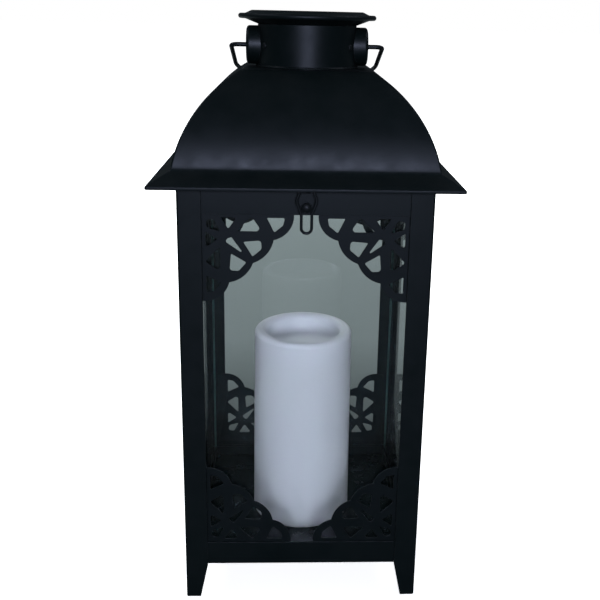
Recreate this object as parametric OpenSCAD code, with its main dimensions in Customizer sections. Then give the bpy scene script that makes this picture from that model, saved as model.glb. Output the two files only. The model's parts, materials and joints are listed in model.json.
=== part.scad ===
// Square metal lantern with a domed roof, a solar module in its neck and a pillar candle inside.
// Millimetres, +Z up, origin on the ground under the middle of the lantern, front face towards -Y.

/* [Body frame] */
// Width of the body across the outer faces of the posts
body_w = 167; // [165:0.5:169]
// Width of each leg of a corner post
post_w = 16; // [14:0.5:18]
// Width of a post's leg at the ground
foot_w = 10.5; // [8:0.5:13]
// Thickness of the frame's sheet metal
sheet = 1.2; // [1.1:0.05:1.25]
// Height of the bottom rails' lower edge
rail_low_z = 27.7; // [27:0.1:29]
// Depth of the bottom rails
rail_low_h = 16.6; // [15:0.1:18]
// Height of the top rails' lower edge
rail_top_z = 287.2; // [285:0.2:289]
// Height of the top of the body
body_top = 306.8; // [306:0.1:307]

/* [Fretwork] */
// Thickness of the fretwork sheet
fret_t = 0.8; // [0.5:0.05:0.9]
// How far the fretwork runs on behind the rails and posts
fret_lap = 6; // [3:0.5:8]

/* [Glass] */
// Thickness of a pane
glass_t = 2; // [1.5:0.1:2.4]

/* [Candle] */
// Radius of the candle at its foot
candle_r = 38.1; // [36:0.1:39]
// Height of the candle
candle_h = 152.2; // [140:0.2:156]
// Radius of the hollow in the candle's top
candle_well_r = 30; // [26:0.5:32]
// Depth of the hollow
candle_well_d = 13; // [8:0.5:20]

/* [Roof] */
// Height of the eave's lower edge
eave_z = 307.2; // [307.1:0.1:307.6]
// Half the width of the eave
eave_half = 100.2; // [99:0.2:101]
// Half the width where the flare meets the dome
flare_half = 86.3; // [85.9:0.1:86.4]
// Height where the flare meets the dome
flare_z = 315.7; // [315:0.1:316.4]
// Radius of the dome's curved sides
dome_r = 86.6; // [86.3:0.1:86.8]
// Height of the roof's flat top
crown_z = 376.2; // [375.6:0.1:376.6]

/* [Neck and cap] */
// Outer radius of the neck
collar_r = 34.6; // [34.4:0.1:34.8]
// Radius of the cap
cap_r = 48.2; // [47:0.1:49]
// Overall height of the lantern
total_h = 414; // [413.6:0.1:414.4]
// Radius of a side boss on the neck
boss_r = 13.2; // [12:0.1:13.6]

/* [Handle and clasp] */
// Thickness of the carrying handle's wire
bail_wire = 3.2; // [2.8:0.1:3.2]
// Half the width of the handle
bail_half = 53.5; // [53:0.1:54]
// Length of the handle from its pivot
bail_len = 100; // [90:1:101]
// Angle of the stored handle below level
bail_droop = 18.6; // [17:0.1:18.8]
// Thickness of the clasp's wire
clasp_wire_d = 1.9; // [1.6:0.1:2]
// Length of the clasp below its pivot
clasp_len = 29; // [28:0.1:34]

/* [Hidden] */
$fn = 64;

black = [0.07, 0.08, 0.10];
dark = [0.10, 0.11, 0.13];
steel = [0.62, 0.63, 0.65];
abs_black = [0.09, 0.09, 0.10];

half = body_w / 2;             // outer face of the posts
opening = half - post_w;       // half the width of each window
lap = 0.1;                     // joint gap between pieces that are fastened face to face
rail_y = half - sheet;         // outer face of the rails
rail_in = rail_y - sheet;      // inner face of the rails
fret_y = rail_in - lap;        // outer face of the fretwork
rail_low_top = rail_low_z + rail_low_h;

floor_z = 26.6;                // top of the floor sheet
floor_t = 0.8;
tray_half = rail_in - lap;
tray_rim = 8;

groove_out = 79.0;             // pane channel: outer side of its groove
groove_in = 76.0;
channel_t = 0.8;
channel_out = groove_out + channel_t;
channel_in = groove_in - channel_t;
channel_h = 8;
pane_y = groove_in + (groove_out - groove_in + glass_t) / 2;
pane_half = pane_y - glass_t - 0.3;
channel_low_z = floor_z + lap;
channel_top_z = body_top - channel_h;

taper = 0.02;                  // the candle narrows by this share towards its top
seat_r = 27;
seat_h = 2.4;

dome_z = 301;                  // height of the dome's centre line
dome_shift = flare_half - sqrt(dome_r * dome_r - pow(flare_z - dome_z, 2));
edge_t = 1.2;                  // height of the eave's edge
hem = 1.2;                     // how far the eave's edge is turned down
flare_slope = 1.17;            // height of the flare's sheet for each unit of its thickness

hinge_y = half + 3.4;
hinge_z = eave_z - 3.5;
hinge_x = 45;                  // each hinge's distance from the middle
knuckle_r = 3;
hinge_pin_r = 1.4;
leaf_drop = 14.4;              // how far the body's leaf reaches below the hinge's axis
leaf_rivet_drop = 8.2;
run_gap = 0.06;                // radial clearance of a turning pin

collar_t = 1.2;
collar_top = 405;
cap_rim_z = 410.15;
cap_rim_r = 1.75;
cap_flat_r = 39.5;
skirt_r = collar_r - collar_t - 0.1;
skirt_t = 1.6;
skirt_low = 400;               // lower edge of the cap's skirt inside the neck
module_r = 31.5;               // outer radius of the solar module's housing
window_r = 34.1;
ledge_z = 409;                 // shelf that the panel's gasket lies on
ledge_r = 30.6;

boss_z = 390.5;
boss_end = 42.5;
boss_wall = 1.5;
boss_gap = 0.15;               // joint gap between a boss and the neck's round wall
rivet_turn = 32;               // boss rivets' angle from the handle's axis

bail_r = bail_wire / 2;
bail_bend = 4.5;
flange_r = 2.4;                // head on each end of the handle, inside its boss
clasp_r = clasp_wire_d / 2;
clasp_y = -90;
clasp_z = 305.2;
hanger_rivet_y = clasp_y + 6;
stud_z = 292.8;

cover_z = 364;                 // lowest face of the solar module
cover_t = 2;
cover_top = cover_z + cover_t;
housing_top = 404.8;
wall = 1.6;                    // thickness of the housing
pillar_h = housing_top - wall - cover_top + 0.2;
door_x = 15.5;
door_low_y = -24;
door_high_y = -6.8;
door_pin_r = 0.7;
door_gap = 0.3;
switch_y = 16;
cell_y = -15;
cell_r = 7.1;
cell_len = 28.7;
cell_z = cover_top + cell_r + 1.3;
board_z = 386;                 // underside of the circuit board
led_z = 369;                   // middle of the lamp's round end
led_r = 2.5;
screw_at = [[22.5, 8], [-22.5, 8], [0, 25.6]];
door_pin_y = door_low_y + 1.5;  // axis of the battery door's pins
door_pin_z = cover_z + cover_t / 2;

// ---- helpers ----

// Rounds the corners of the closed outline pts, each with the matching radius in radii.
function arc_corner(a, b, c, r, steps) =
    let (u = (a - b) / norm(a - b), v = (c - b) / norm(c - b), half_turn = acos(u * v) / 2,
         d = r / tan(half_turn), mid = (u + v) / norm(u + v), centre = b + mid * r / sin(half_turn),
         s = b + u * d - centre, e = b + v * d - centre)
    [for (i = [0 : steps]) let (t = i / steps, p = s * (1 - t) + e * t) centre + p * r / norm(p)];

function rounded(pts, radii, steps = 3) =
    let (n = len(pts))
    [for (i = [0 : n - 1])
        each arc_corner(pts[(i + n - 1) % n], pts[i], pts[(i + 1) % n], radii[i], steps)];

function swapped(pts) = [for (p = pts) [p[1], p[0]]];

// Turns a front piece to the side facing the given way: 0 front, 1 right, 2 rear, 3 left.
module side(k) {
    rotate([0, 0, 90 * k]) children();
}

// Stands a drawing made in X and Y up in the front plane, its outer face at y = -face.
module upright(face, t) {
    translate([0, t - face, 0]) rotate([90, 0, 0]) linear_extrude(t) children();
}

module rod_x(r, from, to) {
    translate([from, 0, 0]) rotate([0, 90, 0]) cylinder(r = r, h = to - from);
}

module square_ring(outer, inner, z, h) {
    translate([0, 0, z]) linear_extrude(h) difference() {
        square(2 * outer, center = true);
        square(2 * inner, center = true);
    }
}

// ---- body frame ----

module post_leg() {
    upright(half, sheet) polygon([
        [half, 0], [half - foot_w, 0], [half - post_w, rail_low_z - 1], [half - post_w, body_top],
        [half, body_top]
    ]);
}

module post(k) {
    color(black) side(k) union() {
        post_leg();
        mirror([1, 1, 0]) post_leg();
    }
}

module rail(k, z, h) {
    color(black) side(k) translate([-rail_in + lap, -rail_y, z]) cube([2 * (rail_in - lap), sheet, h]);
}

module bottom_rail(k) {
    rail(k, rail_low_z, rail_low_h);
}

module top_rail(k) {
    rail(k, rail_top_z, body_top - rail_top_z);
}

module top_rail_rear() {
    difference() {
        top_rail(2);
        translate([0, rail_in - 1, 0]) hinge_rivet_places() cylinder(r = 1.3, h = 6);
    }
}

module top_rail_front() {
    difference() {
        top_rail(0);
        translate([0, -half, stud_z]) rotate([-90, 0, 0]) cylinder(r = 1.65, h = 8);
    }
}

// ---- fretwork: a quarter fan of four scallops around a rosette, cut from sheet ----

function fret_side_holes() = [
    rounded([[12, 2.3], [22.4, 2.3], [17, 10]], [0.5, 1.2, 0.7]),
    rounded([[32.2, 1.6], [38.8, 11.5], [22.2, 11.5]], [1.5, 2, 0.5]),
    rounded([[42, 2.4], [53.6, 2.4], [52.6, 7.5], [46.8, 12.2]], [0.5, 0.8, 3, 0.8]),
    rounded([[26.6, 18.6], [38.2, 17.6], [38.6, 23.6], [32.6, 28.6]], [0.6, 2, 2.6, 0.8])
];

module fret_holes() {
    for (h = fret_side_holes()) {
        polygon(h);
        polygon(swapped(h));
    }
    polygon(rounded([[2.6, 4.6], [7.4, 3.4], [11.8, 11.8], [3.4, 9.4]], [1.6, 2, 0.5, 2]));
    polygon(rounded([[14.6, 18.4], [18.4, 14.6], [27.4, 27.4]], [1.6, 1.6, 0.6]));
}

module fret_corner() {
    difference() {
        union() {
            for (m = [0, 1]) mirror([m, -m, 0]) {
                translate([43, 1]) circle(r = 16.6);
                translate([26.3, 13.6]) circle(r = 20.5);
                translate([-fret_lap, -fret_lap]) square([43 + fret_lap, 16 + fret_lap]);
            }
            square(28);
        }
        fret_holes();
        translate([-50 - fret_lap, -50]) square([50, 150]);
        translate([-50, -50 - fret_lap]) square([150, 50]);
        translate([opening - 5, -fret_lap - 1]) square([20, 40]);
    }
}

module fretwork(k) {
    color(dark) side(k) upright(fret_y, fret_t) for (m = [0, 1]) mirror([m, 0]) {
        translate([opening, rail_top_z]) rotate(180) fret_corner();
        translate([opening, rail_low_top]) mirror([1, 0]) fret_corner();
    }
}

// ---- glass and its channels ----

module glass(k) {
    color([0.75, 0.85, 0.85, 0.35]) side(k)
        translate([-pane_half, -pane_y, channel_low_z + channel_t + lap])
            cube([2 * pane_half, glass_t, channel_top_z + channel_h - 3.2 - channel_low_z]);
}

module glass_channel_bottom() {
    color(dark) difference() {
        square_ring(channel_out, channel_in, channel_low_z, channel_h);
        square_ring(groove_out, groove_in, channel_low_z + channel_t, channel_h);
    }
}

module glass_channel_top() {
    color(dark) difference() {
        square_ring(channel_out, channel_in, channel_top_z, channel_h - lap);
        square_ring(groove_out, groove_in, channel_top_z - 1, channel_h);
    }
}

// ---- floor ----

module seat_rivet_places() {
    for (a = [45 : 90 : 315]) rotate(a) translate([seat_r - 7, 0, floor_z]) children();
}

module floor_tray() {
    color(black) difference() {
        union() {
            translate([-tray_half, -tray_half, floor_z - floor_t])
                cube([2 * tray_half, 2 * tray_half, floor_t]);
            square_ring(tray_half, tray_half - floor_t, floor_z - floor_t, tray_rim);
        }
        seat_rivet_places() translate([0, 0, -3]) cylinder(r = 1.65, h = 6);
    }
}

module candle_seat() {
    color(black) difference() {
        translate([0, 0, floor_z]) cylinder(r = seat_r, h = seat_h);
        translate([0, 0, floor_z - 1]) cylinder(r = seat_r - 14, h = seat_h + 2);
        seat_rivet_places() translate([0, 0, -1]) cylinder(r = 1.65, h = 6);
    }
}

module seat_rivets() {
    color(steel) seat_rivet_places() {
        translate([0, 0, -floor_t - 1]) cylinder(r = 3, h = 1);
        translate([0, 0, -floor_t - 1]) cylinder(r = 1.6, h = floor_t + seat_h + 1.2);
        translate([0, 0, seat_h]) cylinder(r1 = 2.8, r2 = 1.8, h = 0.8);
    }
}

// ---- latch stud and hinges ----

module latch_stud() {
    color(black) translate([0, -rail_in + 0.8, stud_z]) rotate([90, 0, 0]) rotate_extrude() union() {
        square([2.6, 0.8]);
        square([1.6, 5.6]);
        intersection() {
            translate([0, 5]) square([3.3, 2.7]);
            translate([0, 3]) circle(r = 4.7);
        }
    }
}

// One knuckle of a hinge, from x0 to x1 about the hinge's axis.
module knuckle(x0, x1) {
    translate([0, hinge_y, hinge_z]) rod_x(knuckle_r, x0, x1);
}

module hinge_rivet_places() {
    for (s = [-1, 1], e = [-7, 7]) translate([s * hinge_x + e, 0, hinge_z - leaf_rivet_drop])
        rotate([-90, 0, 0]) children();
}

module hinge_leaf_body() {
    leaf_y = rail_y + lap;
    color(black) difference() {
        for (s = [-1, 1]) difference() {
            union() {
                translate([s * hinge_x - 12, leaf_y, hinge_z - leaf_drop]) cube([24, sheet, leaf_drop]);
                for (e = [-12, 4.2]) {
                    knuckle(s * hinge_x + e, s * hinge_x + e + 7.8);
                    translate([s * hinge_x + e, leaf_y, hinge_z - knuckle_r])
                        cube([7.8, hinge_y - leaf_y, 1.4]);
                }
            }
            translate([0, hinge_y, hinge_z]) rod_x(hinge_pin_r, s * hinge_x - 13, s * hinge_x + 13);
            translate([s * hinge_x - 4.2, leaf_y - 1, hinge_z - knuckle_r - 0.4]) cube([8.4, 12, 12]);
        }
        translate([0, rail_y - 1, 0]) hinge_rivet_places() cylinder(r = 1.3, h = 6);
    }
}

module hinge_rivets() {
    color(dark) translate([0, rail_in, 0]) hinge_rivet_places() {
        translate([0, 0, -0.9]) cylinder(r = 2.3, h = 0.8);
        translate([0, 0, -0.2]) cylinder(r = 1.25, h = 2 * sheet + 0.4);
        translate([0, 0, 2 * sheet + 0.15]) cylinder(r1 = 2.4, r2 = 1.5, h = 0.8);
    }
}

module hinge_pins() {
    color(steel) for (s = [-1, 1]) translate([0, hinge_y, hinge_z]) {
        rod_x(hinge_pin_r, s * hinge_x - 12.4, s * hinge_x + 12.2);
        rod_x(2.2, s * hinge_x + 12.05, s * hinge_x + 13);
    }
}

module hinge_leaf_roof() {
    color(black) for (s = [-1, 1]) difference() {
        union() {
            knuckle(s * hinge_x - 3.9, s * hinge_x + 3.9);
            translate([s * hinge_x - 3.9, hinge_y, eave_z - 1.2]) cube([7.8, 9, 1.2]);
            translate([s * hinge_x - 10, hinge_y + 3.4, eave_z - 1.2]) cube([20, 6.6, 1.2]);
        }
        translate([0, hinge_y, hinge_z]) rod_x(hinge_pin_r + run_gap, s * hinge_x - 5, s * hinge_x + 5);
    }
}

// ---- candle ----

module candle_shell() {
    lip = 4;
    top = floor_z + candle_h;
    r_top = candle_r * (1 - taper);
    well = candle_well_r - 2;
    color([0.93, 0.93, 0.95]) rotate_extrude() difference() {
        union() {
            polygon([
                [0, floor_z], [candle_r, floor_z], [r_top, top - lip], [r_top - lip, top], [0, top]
            ]);
            translate([r_top - lip, top - lip]) circle(r = lip);
        }
        translate([0, top - candle_well_d]) square([well, 30]);
        translate([0, floor_z - 1]) square([candle_r - 3, candle_h - candle_well_d - 3]);
    }
}

module candle_base() {
    color([0.85, 0.85, 0.86]) difference() {
        translate([0, 0, floor_z + 0.4]) cylinder(r = candle_r - 3.2, h = 6);
        translate([0, 0, floor_z - 1]) cylinder(r = seat_r + 1, h = 5);
    }
}

// ---- roof ----

// Section of the dome, or of its inside when inset by t, with round sides and a flat top.
module dome_section(t) {
    low_z = flare_z - 0.4 - t * flare_slope;
    intersection() {
        translate([dome_shift, dome_z]) circle(r = dome_r - t, $fn = 96);
        translate([-dome_shift, dome_z]) circle(r = dome_r - t, $fn = 96);
        translate([-flare_half - 5, low_z]) square([2 * flare_half + 10, crown_z - t - low_z]);
    }
}

// Section of the flared eave, or of its inside when lowered for a sheet of thickness t.
module flare_section(t) {
    drop = t * flare_slope;
    polygon([
        [-eave_half, eave_z - t], [-eave_half, eave_z + edge_t - drop],
        [-flare_half + t, flare_z - drop], [flare_half - t, flare_z - drop],
        [eave_half, eave_z + edge_t - drop], [eave_half, eave_z - t]
    ]);
}

// Makes the square solid that has the drawn section both from the front and from the side.
module both_ways() {
    intersection() {
        rotate([90, 0, 0]) translate([0, 0, -150]) linear_extrude(300) children();
        rotate([90, 0, 90]) translate([0, 0, -150]) linear_extrude(300) children();
    }
}

module roof_solid(t) {
    union() {
        both_ways() dome_section(t);
        both_ways() flare_section(t);
    }
}

module roof_shell() {
    color(black) union() {
        difference() {
            roof_solid(0);
            roof_solid(sheet);
            translate([0, 0, crown_z - 10]) cylinder(r = module_r + 0.4, h = 20);
        }
        square_ring(eave_half, eave_half - sheet, eave_z - hem, hem + edge_t / 2);
    }
}

module roof_soffit() {
    color(black) difference() {
        square_ring(eave_half - 3.4, 72, eave_z + 0.1, 1);
        hanger_rivet_places() translate([0, 0, -2]) cylinder(r = 0.85, h = 5);
    }
}

module collar() {
    color(black) difference() {
        union() {
            translate([0, 0, crown_z]) cylinder(r = collar_r, h = collar_top - crown_z);
            translate([0, 0, crown_z]) cylinder(r = collar_r + 1.6, h = 1);
        }
        translate([0, 0, crown_z - 1]) cylinder(r = collar_r - collar_t, h = 40);
        translate([0, 0, boss_z]) rod_x(2.2, -40, 40);
        boss_rivet_places() rod_x(1.25, 30, 38);
    }
}

module boss_rivet_places() {
    for (s = [0, 180], a = [-rivet_turn, rivet_turn]) rotate(s + a) translate([0, 0, boss_z]) children();
}

module boss(s) {
    edge = 2.4;
    color(black) mirror([s < 0 ? 1 : 0, 0, 0]) difference() {
        translate([0, 0, boss_z]) rotate([0, 90, 0]) rotate_extrude() {
            square([boss_r, boss_end - edge]);
            square([boss_r - edge, boss_end]);
            translate([boss_r - edge, boss_end - edge]) circle(r = edge, $fn = 32);
        }
        translate([0, 0, boss_z]) rod_x(boss_r - boss_wall, 0, boss_end - boss_wall);
        translate([0, 0, boss_z - 20]) cylinder(r = collar_r + boss_gap, h = 40);
        translate([0, 0, boss_z]) rod_x(bail_r + run_gap, 30, 50);
    }
}

module boss_rivets() {
    color(dark) boss_rivet_places() {
        rod_x(1.2, collar_r - collar_t - 0.6, collar_r + 0.5);
        translate([collar_r + 0.05, 0, 0]) rotate([0, 90, 0]) cylinder(r1 = 2.4, r2 = 1.4, h = 1);
    }
}

module cap() {
    color(black) rotate_extrude() difference() {
        union() {
            polygon([
                [skirt_r - skirt_t, skirt_low], [skirt_r, skirt_low], [skirt_r, collar_top],
                [collar_r + 0.4, collar_top],
                [43.8, cap_rim_z - cap_rim_r], [cap_r - cap_rim_r, cap_rim_z - cap_rim_r],
                [cap_r - cap_rim_r, cap_rim_z + cap_rim_r], [43.4, cap_rim_z + cap_rim_r],
                [cap_flat_r, total_h], [window_r + 0.1, total_h], [window_r + 0.1, ledge_z],
                [skirt_r - skirt_t, ledge_z]
            ]);
            translate([cap_r - cap_rim_r, cap_rim_z]) circle(r = cap_rim_r, $fn = 32);
            translate([ledge_r, ledge_z - skirt_t]) square([4, skirt_t]);
        }
        translate([0, skirt_low - 1]) square([ledge_r, 20]);
    }
}

// ---- solar module ----

module panel_gasket() {
    color([0.05, 0.05, 0.05]) translate([0, 0, ledge_z]) difference() {
        cylinder(r = window_r - 0.2, h = 0.9);
        translate([0, 0, -1]) cylinder(r = 31, h = 4);
    }
}

module solar_panel() {
    color([0.05, 0.07, 0.16]) translate([0, 0, ledge_z + 0.95]) cylinder(r = window_r - 0.3, h = 1.4);
}

module solar_window() {
    color([0.8, 0.85, 0.88, 0.4]) translate([0, 0, ledge_z + 2.4]) {
        cylinder(r = window_r, h = 1.6);
        translate([0, 0, 1.6]) cylinder(r1 = window_r, r2 = window_r - 0.5, h = 0.5);
    }
}

module module_housing() {
    color(abs_black) difference() {
        union() {
            difference() {
                translate([0, 0, cover_top + 0.1]) cylinder(r = module_r, h = housing_top - cover_top);
                translate([0, 0, cover_z]) cylinder(r = module_r - wall, h = housing_top - cover_z - wall);
            }
            for (p = screw_at) translate([p[0], p[1], cover_top + 0.1]) cylinder(r = 3, h = pillar_h);
        }
        for (p = screw_at) translate([p[0], p[1], cover_z]) cylinder(r = 1.2, h = 13);
        translate([0, 0, housing_top - 4]) cylinder(r = 2, h = 8);
    }
}

module module_cover() {
    color(abs_black) difference() {
        translate([0, 0, cover_z]) cylinder(r = module_r, h = cover_t);
        translate([-door_x - door_gap, door_low_y - door_gap, cover_z - 1])
            cube([2 * (door_x + door_gap), door_high_y - door_low_y + 2 * door_gap, 5]);
        translate([0, door_pin_y, door_pin_z]) rod_x(door_pin_r + run_gap, -door_x - 2, door_x + 2);
        translate([-5.6, switch_y - 1.9, cover_z - 1]) cube([11.2, 3.8, 5]);
        translate([0, 0, cover_z - 1]) cylinder(r = 5.55, h = 5);
        for (p = screw_at) translate([p[0], p[1], cover_z - 1]) {
            cylinder(r = 1.6, h = 5);
            cylinder(r = 2.9, h = 1.9);
        }
    }
}

module battery_door() {
    plate_t = 1.6;
    color(abs_black) translate([0, door_pin_y, 0]) {
        difference() {
            translate([-door_x, 0, cover_z]) cube([2 * door_x, door_high_y - door_pin_y, plate_t]);
            for (e = [-3 : 3]) translate([e * 3 - 0.4, door_high_y - door_pin_y - 6, cover_z - 0.1])
                cube([0.8, 4, 0.5]);
        }
        translate([0, 0, door_pin_z]) {
            rod_x(1.3, -door_x, door_x);
            rod_x(door_pin_r, -door_x - 1.7, door_x + 1.7);
        }
    }
}

module switch_body() {
    color(dark) translate([0, switch_y, 0]) difference() {
        translate([-8.5, -3.5, cover_top + 0.05]) cube([17, 7, 6.5]);
        translate([-6.4, -4, cover_top - 1]) cube([12.8, 8, 3.1]);
    }
}

module switch_slider() {
    color([0.75, 0.1, 0.08]) translate([-2.6, switch_y, cover_z]) {
        translate([-2.2, -1.6, -1.8]) cube([4.4, 3.2, 4.2]);
        translate([-3.4, -2.6, cover_t + 0.3]) cube([6.8, 5.2, 1.4]);
    }
}

module circuit_board() {
    color([0.05, 0.3, 0.15]) difference() {
        translate([0, 0, board_z]) cylinder(r = module_r - wall - 0.5, h = 1.6);
        for (p = screw_at) translate([p[0], p[1], board_z - 6]) cylinder(r = 3.6, h = 12);
    }
}

module battery_cell() {
    color([0.2, 0.5, 0.3]) translate([0, cell_y, cell_z]) {
        rod_x(cell_r, -cell_len / 2, cell_len / 2 - 1.2);
        rod_x(2.6, cell_len / 2 - 1.3, cell_len / 2);
    }
}

module battery_contacts() {
    strip_h = board_z - cell_z + 5 - 0.05;
    color(steel) translate([0, cell_y, cell_z]) {
        translate([cell_len / 2 + 0.05, -4, -5]) cube([0.5, 8, strip_h]);
        translate([-cell_len / 2 - 1.9, -4, -5]) cube([0.5, 8, strip_h]);
        for (i = [0 : 2]) translate([-cell_len / 2 - 1.42 + 0.45 * i, 0, 0]) rotate([0, 90, 0])
            rotate_extrude() translate([4 - i * 0.8, 0.25]) circle(r = 0.25, $fn = 16);
    }
}

module led() {
    color([0.95, 0.8, 0.4]) {
        translate([0, 0, led_z]) cylinder(r = led_r, h = 4);
        translate([0, 0, led_z]) sphere(r = led_r);
        translate([0, 0, led_z + 3.9]) cylinder(r = led_r + 0.4, h = 1);
        for (s = [-1, 1]) translate([s * 1.27, 0, led_z + 4.8])
            cylinder(r = 0.3, h = board_z - led_z - 4.85);
    }
}

module led_lens() {
    color([0.85, 0.88, 0.9, 0.5]) difference() {
        union() {
            translate([0, 0, cover_z - 0.6]) cylinder(r = 5.45, h = cover_t + 0.6);
            translate([0, 0, cover_top + 0.05]) cylinder(r = 6.4, h = 0.9);
            translate([0, 0, cover_top - 0.1]) cylinder(r = 5.45, h = 0.3);
        }
        translate([0, 0, led_z]) sphere(r = led_r + 0.9);
    }
}

module module_screws() {
    color(steel) for (p = screw_at) translate([p[0], p[1], cover_z + 0.15]) difference() {
        union() {
            cylinder(r = 2.7, h = 0.7);
            cylinder(r = 1.15, h = 11);
        }
        for (a = [0, 90]) rotate(a) translate([-1.6, -0.3, -1]) cube([3.2, 0.6, 1.4]);
    }
}

// ---- clasp ----

module hanger_rivet_places() {
    for (s = [-1, 1]) translate([s * 2.5, hanger_rivet_y, eave_z]) children();
}

module hasp_hanger() {
    color(black) difference() {
        union() {
            translate([-4.5, clasp_y, eave_z - 0.9]) cube([9, 7.5, 0.9]);
            translate([0, clasp_y, clasp_z]) rod_x(1.9, -2.2, 2.2);
            translate([-2.2, clasp_y, clasp_z + 0.2]) cube([4.4, 1.9, 1.5]);
        }
        translate([0, clasp_y, clasp_z]) rod_x(clasp_r + run_gap, -6, 6);
        hanger_rivet_places() translate([0, 0, -3]) cylinder(r = 0.85, h = 5);
    }
}

module hanger_rivets() {
    color(dark) hanger_rivet_places() {
        translate([0, 0, -1.5]) cylinder(r1 = 0.9, r2 = 1.5, h = 0.6);
        translate([0, 0, -1]) cylinder(r = 0.8, h = 2.4);
        translate([0, 0, 1.15]) cylinder(r = 1.5, h = 0.6);
    }
}

// Closed keyhole loop of the clasp in X and Z, from its pivot downwards.
function clasp_path() =
    let (right = [[3.9, 0], [6.7, -6.9], [3.31, -15.9], [3.31, clasp_r - clasp_len]],
         left = [for (i = [3 : -1 : 0]) [-right[i][0], right[i][1]]])
    rounded(concat(right, left), [1.5, 5, 6, 3.3, 3.3, 6, 5, 1.5], 6);

// A round wire bent along a closed loop that lies in X and Z.
module wire_loop(path, r, sides = 12) {
    n = len(path);
    rings = [for (i = [0 : n - 1]) let (
        d = path[(i + 1) % n] - path[(i + n - 1) % n], out = [-d[1], d[0]] / norm(d))
        for (k = [0 : sides - 1]) let (a = 360 * k / sides)
            [path[i][0] + out[0] * r * cos(a), r * sin(a), path[i][1] + out[1] * r * cos(a)]];
    faces = [for (i = [0 : n - 1], k = [0 : sides - 1]) let (j = (i + 1) % n, m = (k + 1) % sides)
        each [[i * sides + k, i * sides + m, j * sides + m],
              [i * sides + k, j * sides + m, j * sides + k]]];
    polyhedron(rings, faces);
}

module clasp_wire() {
    color(dark) translate([0, clasp_y, clasp_z]) wire_loop(clasp_path(), clasp_r);
}

// ---- carrying handle ----

module bail_side() {
    straight = bail_len - bail_half;
    rod_x(bail_r, boss_end - 4, bail_half - bail_bend);
    translate([boss_end - 4.6, 0, 0]) rod_x(flange_r, 0, 1);
    translate([bail_half - bail_bend, bail_bend, 0]) rotate([0, 0, -90]) rotate_extrude(angle = 90)
        translate([bail_bend, 0]) circle(r = bail_r, $fn = 32);
    translate([bail_half, bail_bend, 0]) rotate([-90, 0, 0]) cylinder(r = bail_r, h = straight - bail_bend);
}

module bail_handle() {
    color(black) translate([0, 0, boss_z]) rotate([-bail_droop, 0, 0]) {
        bail_side();
        mirror([1, 0, 0]) bail_side();
        translate([0, bail_len - bail_half, 0]) rotate_extrude(angle = 180)
            translate([bail_half, 0]) circle(r = bail_r, $fn = 32);
    }
}

post(3);  // post_front_left
post(0);  // post_front_right
post(2);  // post_rear_left
post(1);  // post_rear_right
bottom_rail(0);  // bottom_rail_front
bottom_rail(2);  // bottom_rail_rear
bottom_rail(3);  // bottom_rail_left
bottom_rail(1);  // bottom_rail_right
top_rail_front();
top_rail_rear();
top_rail(3);  // top_rail_left
top_rail(1);  // top_rail_right
fretwork(0);  // fretwork_front
fretwork(2);  // fretwork_rear
fretwork(3);  // fretwork_left
fretwork(1);  // fretwork_right
glass(0);  // glass_front
glass(2);  // glass_rear
glass(3);  // glass_left
glass(1);  // glass_right
glass_channel_bottom();
glass_channel_top();
floor_tray();
candle_seat();
seat_rivets();
latch_stud();
hinge_leaf_body();
hinge_pins();
hinge_rivets();
candle_shell();
candle_base();
roof_shell();
roof_soffit();
hinge_leaf_roof();
collar();
boss(-1);  // boss_left
boss(1);  // boss_right
boss_rivets();
cap();
solar_window();
solar_panel();
panel_gasket();
module_housing();
module_cover();
circuit_board();
battery_cell();
battery_contacts();
led();
led_lens();
module_screws();
switch_body();
hasp_hanger();
hanger_rivets();
bail_handle();
clasp_wire();
switch_slider();
battery_door();
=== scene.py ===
"""Solar lantern: the looks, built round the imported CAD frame. Lengths are in millimetres where a name or a call
says mm, and in metres everywhere else."""
import json
import math

import bpy
from mathutils import Matrix, Vector


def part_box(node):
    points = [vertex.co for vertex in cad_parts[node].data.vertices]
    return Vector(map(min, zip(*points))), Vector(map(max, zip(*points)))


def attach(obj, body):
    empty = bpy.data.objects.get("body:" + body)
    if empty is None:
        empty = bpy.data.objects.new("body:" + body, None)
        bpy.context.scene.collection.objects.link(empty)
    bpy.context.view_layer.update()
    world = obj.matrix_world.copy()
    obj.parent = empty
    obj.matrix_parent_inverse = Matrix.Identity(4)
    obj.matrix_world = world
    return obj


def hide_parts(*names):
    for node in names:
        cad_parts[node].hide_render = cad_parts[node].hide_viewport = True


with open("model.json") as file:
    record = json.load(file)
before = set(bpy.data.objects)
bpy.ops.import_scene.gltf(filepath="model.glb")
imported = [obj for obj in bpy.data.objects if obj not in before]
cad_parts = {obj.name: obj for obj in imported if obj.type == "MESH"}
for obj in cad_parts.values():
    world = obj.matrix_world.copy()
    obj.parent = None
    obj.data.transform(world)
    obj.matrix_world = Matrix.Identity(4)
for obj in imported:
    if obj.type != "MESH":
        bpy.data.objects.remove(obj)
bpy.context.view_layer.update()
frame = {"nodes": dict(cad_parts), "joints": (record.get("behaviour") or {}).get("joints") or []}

MM = 0.001


# ---- camera: the lantern seen from the front, a little from above ----

CAMERA_AT = Vector((-7.9, -614.7, 415.1)) * MM
CAMERA_YAW, CAMERA_PITCH, CAMERA_ROLL = 0.050, 0.276, -0.024
FOCAL_SHARE = 1.4116          # focal length over the frame's width
SHIFT = (-0.0576, -0.0833)
SENSOR = 36.0


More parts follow.
